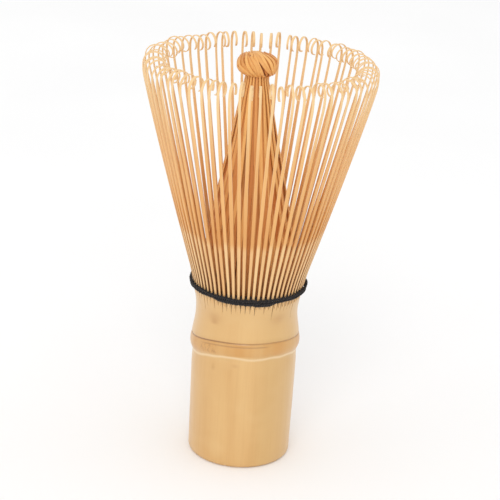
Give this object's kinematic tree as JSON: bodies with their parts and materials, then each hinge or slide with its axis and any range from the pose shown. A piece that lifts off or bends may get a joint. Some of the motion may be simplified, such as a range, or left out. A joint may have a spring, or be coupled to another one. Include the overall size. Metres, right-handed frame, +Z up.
{
  "type": "bamboo tea whisk",
  "caption": "Bamboo tea whisk: a hollow stem grip split into an outer ring of springy curled tines and an inner bundle wound into a knot, bound with dark thread.",
  "frame": {"origin": "centre of the foot, where the grip stands on a table", "axes": "+Z up along the stem, from the foot to the curled tips; -Y is the side towards the viewer, where the thread overlaps"},
  "size_m": [0.0582, 0.0582, 0.1072],
  "materials": {
    "grip_bamboo": "satin, smooth natural skin",
    "outer_tine_bamboo": "matt split bamboo",
    "inner_tine_bamboo": "matt split bamboo",
    "thread": "matt twisted cotton"
  },
  "bodies": {
    "handle": {"bamboo_handle": "grip_bamboo", "binding_thread": "thread", "inner_tines_01": "inner_tine_bamboo", "inner_tines_02": "inner_tine_bamboo", "inner_tines_03": "inner_tine_bamboo", "inner_tines_04": "inner_tine_bamboo", "inner_tines_05": "inner_tine_bamboo", "inner_tines_06": "inner_tine_bamboo", "inner_tines_07": "inner_tine_bamboo", "inner_tines_08": "inner_tine_bamboo", "inner_tines_09": "inner_tine_bamboo", "inner_tines_10": "inner_tine_bamboo", "inner_tines_11": "inner_tine_bamboo", "inner_tines_12": "inner_tine_bamboo", "inner_tines_13": "inner_tine_bamboo", "inner_tines_14": "inner_tine_bamboo", "inner_tines_15": "inner_tine_bamboo", "inner_tines_16": "inner_tine_bamboo", "inner_tines_17": "inner_tine_bamboo", "inner_tines_18": "inner_tine_bamboo", "inner_tines_19": "inner_tine_bamboo", "inner_tines_20": "inner_tine_bamboo", "inner_tines_21": "inner_tine_bamboo", "inner_tines_22": "inner_tine_bamboo", "inner_tines_23": "inner_tine_bamboo", "inner_tines_24": "inner_tine_bamboo"},
    "inner_knot": {"inner_knot": "inner_tine_bamboo"},
    "outer_sector_01": {"outer_tines_01": "outer_tine_bamboo"},
    "outer_sector_02": {"outer_tines_02": "outer_tine_bamboo"},
    "outer_sector_03": {"outer_tines_03": "outer_tine_bamboo"},
    "outer_sector_04": {"outer_tines_04": "outer_tine_bamboo"},
    "outer_sector_05": {"outer_tines_05": "outer_tine_bamboo"},
    "outer_sector_06": {"outer_tines_06": "outer_tine_bamboo"},
    "outer_sector_07": {"outer_tines_07": "outer_tine_bamboo"},
    "outer_sector_08": {"outer_tines_08": "outer_tine_bamboo"},
    "outer_sector_09": {"outer_tines_09": "outer_tine_bamboo"},
    "outer_sector_10": {"outer_tines_10": "outer_tine_bamboo"},
    "outer_sector_11": {"outer_tines_11": "outer_tine_bamboo"},
    "outer_sector_12": {"outer_tines_12": "outer_tine_bamboo"},
    "outer_sector_13": {"outer_tines_13": "outer_tine_bamboo"},
    "outer_sector_14": {"outer_tines_14": "outer_tine_bamboo"},
    "outer_sector_15": {"outer_tines_15": "outer_tine_bamboo"},
    "outer_sector_16": {"outer_tines_16": "outer_tine_bamboo"},
    "outer_sector_17": {"outer_tines_17": "outer_tine_bamboo"},
    "outer_sector_18": {"outer_tines_18": "outer_tine_bamboo"},
    "outer_sector_19": {"outer_tines_19": "outer_tine_bamboo"},
    "outer_sector_20": {"outer_tines_20": "outer_tine_bamboo"},
    "outer_sector_21": {"outer_tines_21": "outer_tine_bamboo"},
    "outer_sector_22": {"outer_tines_22": "outer_tine_bamboo"},
    "outer_sector_23": {"outer_tines_23": "outer_tine_bamboo"},
    "outer_sector_24": {"outer_tines_24": "outer_tine_bamboo"}
  },
  "joints": [
    {"name": "outer_flex_01", "type": "hinge", "parent": "handle", "child": "outer_sector_01", "pos_m": [0.01392, 0.00151, 0.0472], "axis": [-0.108, 0.9942, 0], "range_deg": [-3, 7], "stiffness_Nm_per_rad": 0.015},
    {"name": "outer_flex_02", "type": "hinge", "parent": "handle", "child": "outer_sector_02", "pos_m": [0.01305, 0.00506, 0.0472], "axis": [-0.3616, 0.9323, 0], "range_deg": [-3, 7], "stiffness_Nm_per_rad": 0.015},
    {"name": "outer_flex_03", "type": "hinge", "parent": "handle", "child": "outer_sector_03", "pos_m": [0.0113, 0.00827, 0.0472], "axis": [-0.5906, 0.807, 0], "range_deg": [-3, 7], "stiffness_Nm_per_rad": 0.015},
    {"name": "outer_flex_04", "type": "hinge", "parent": "handle", "child": "outer_sector_04", "pos_m": [0.00877, 0.01091, 0.0472], "axis": [-0.7793, 0.6266, 0], "range_deg": [-3, 7], "stiffness_Nm_per_rad": 0.015},
    {"name": "outer_flex_05", "type": "hinge", "parent": "handle", "child": "outer_sector_05", "pos_m": [0.00565, 0.01281, 0.0472], "axis": [-0.915, 0.4035, 0], "range_deg": [-3, 7], "stiffness_Nm_per_rad": 0.015},
    {"name": "outer_flex_06", "type": "hinge", "parent": "handle", "child": "outer_sector_06", "pos_m": [0.00214, 0.01384, 0.0472], "axis": [-0.9882, 0.153, 0], "range_deg": [-3, 7], "stiffness_Nm_per_rad": 0.015},
    {"name": "outer_flex_07", "type": "hinge", "parent": "handle", "child": "outer_sector_07", "pos_m": [-0.00151, 0.01392, 0.0472], "axis": [-0.9942, -0.108, 0], "range_deg": [-3, 7], "stiffness_Nm_per_rad": 0.015},
    {"name": "outer_flex_08", "type": "hinge", "parent": "handle", "child": "outer_sector_08", "pos_m": [-0.00506, 0.01305, 0.0472], "axis": [-0.9323, -0.3616, 0], "range_deg": [-3, 7], "stiffness_Nm_per_rad": 0.015},
    {"name": "outer_flex_09", "type": "hinge", "parent": "handle", "child": "outer_sector_09", "pos_m": [-0.00827, 0.0113, 0.0472], "axis": [-0.807, -0.5906, 0], "range_deg": [-3, 7], "stiffness_Nm_per_rad": 0.015},
    {"name": "outer_flex_10", "type": "hinge", "parent": "handle", "child": "outer_sector_10", "pos_m": [-0.01091, 0.00877, 0.0472], "axis": [-0.6266, -0.7793, 0], "range_deg": [-3, 7], "stiffness_Nm_per_rad": 0.015},
    {"name": "outer_flex_11", "type": "hinge", "parent": "handle", "child": "outer_sector_11", "pos_m": [-0.01281, 0.00565, 0.0472], "axis": [-0.4035, -0.915, 0], "range_deg": [-3, 7], "stiffness_Nm_per_rad": 0.015},
    {"name": "outer_flex_12", "type": "hinge", "parent": "handle", "child": "outer_sector_12", "pos_m": [-0.01384, 0.00214, 0.0472], "axis": [-0.153, -0.9882, 0], "range_deg": [-3, 7], "stiffness_Nm_per_rad": 0.015},
    {"name": "outer_flex_13", "type": "hinge", "parent": "handle", "child": "outer_sector_13", "pos_m": [-0.01392, -0.00151, 0.0472], "axis": [0.108, -0.9942, 0], "range_deg": [-3, 7], "stiffness_Nm_per_rad": 0.015},
    {"name": "outer_flex_14", "type": "hinge", "parent": "handle", "child": "outer_sector_14", "pos_m": [-0.01305, -0.00506, 0.0472], "axis": [0.3616, -0.9323, 0], "range_deg": [-3, 7], "stiffness_Nm_per_rad": 0.015},
    {"name": "outer_flex_15", "type": "hinge", "parent": "handle", "child": "outer_sector_15", "pos_m": [-0.0113, -0.00827, 0.0472], "axis": [0.5906, -0.807, 0], "range_deg": [-3, 7], "stiffness_Nm_per_rad": 0.015},
    {"name": "outer_flex_16", "type": "hinge", "parent": "handle", "child": "outer_sector_16", "pos_m": [-0.00877, -0.01091, 0.0472], "axis": [0.7793, -0.6266, 0], "range_deg": [-3, 7], "stiffness_Nm_per_rad": 0.015},
    {"name": "outer_flex_17", "type": "hinge", "parent": "handle", "child": "outer_sector_17", "pos_m": [-0.00565, -0.01281, 0.0472], "axis": [0.915, -0.4035, 0], "range_deg": [-3, 7], "stiffness_Nm_per_rad": 0.015},
    {"name": "outer_flex_18", "type": "hinge", "parent": "handle", "child": "outer_sector_18", "pos_m": [-0.00214, -0.01384, 0.0472], "axis": [0.9882, -0.153, 0], "range_deg": [-3, 7], "stiffness_Nm_per_rad": 0.015},
    {"name": "outer_flex_19", "type": "hinge", "parent": "handle", "child": "outer_sector_19", "pos_m": [0.00151, -0.01392, 0.0472], "axis": [0.9942, 0.108, 0], "range_deg": [-3, 7], "stiffness_Nm_per_rad": 0.015},
    {"name": "outer_flex_20", "type": "hinge", "parent": "handle", "child": "outer_sector_20", "pos_m": [0.00506, -0.01305, 0.0472], "axis": [0.9323, 0.3616, 0], "range_deg": [-3, 7], "stiffness_Nm_per_rad": 0.015},
    {"name": "outer_flex_21", "type": "hinge", "parent": "handle", "child": "outer_sector_21", "pos_m": [0.00827, -0.0113, 0.0472], "axis": [0.807, 0.5906, 0], "range_deg": [-3, 7], "stiffness_Nm_per_rad": 0.015},
    {"name": "outer_flex_22", "type": "hinge", "parent": "handle", "child": "outer_sector_22", "pos_m": [0.01091, -0.00877, 0.0472], "axis": [0.6266, 0.7793, 0], "range_deg": [-3, 7], "stiffness_Nm_per_rad": 0.015},
    {"name": "outer_flex_23", "type": "hinge", "parent": "handle", "child": "outer_sector_23", "pos_m": [0.01281, -0.00565, 0.0472], "axis": [0.4035, 0.915, 0], "range_deg": [-3, 7], "stiffness_Nm_per_rad": 0.015},
    {"name": "outer_flex_24", "type": "hinge", "parent": "handle", "child": "outer_sector_24", "pos_m": [0.01384, -0.00214, 0.0472], "axis": [0.153, 0.9882, 0], "range_deg": [-3, 7], "stiffness_Nm_per_rad": 0.015},
    {"name": "knot_twist", "type": "hinge", "parent": "handle", "child": "inner_knot", "pos_m": [-0.00103, 0, 0.1034], "axis": [-0.0175, 0, 0.9998], "range_deg": [-12, 12], "stiffness_Nm_per_rad": 0.006}
  ]
}
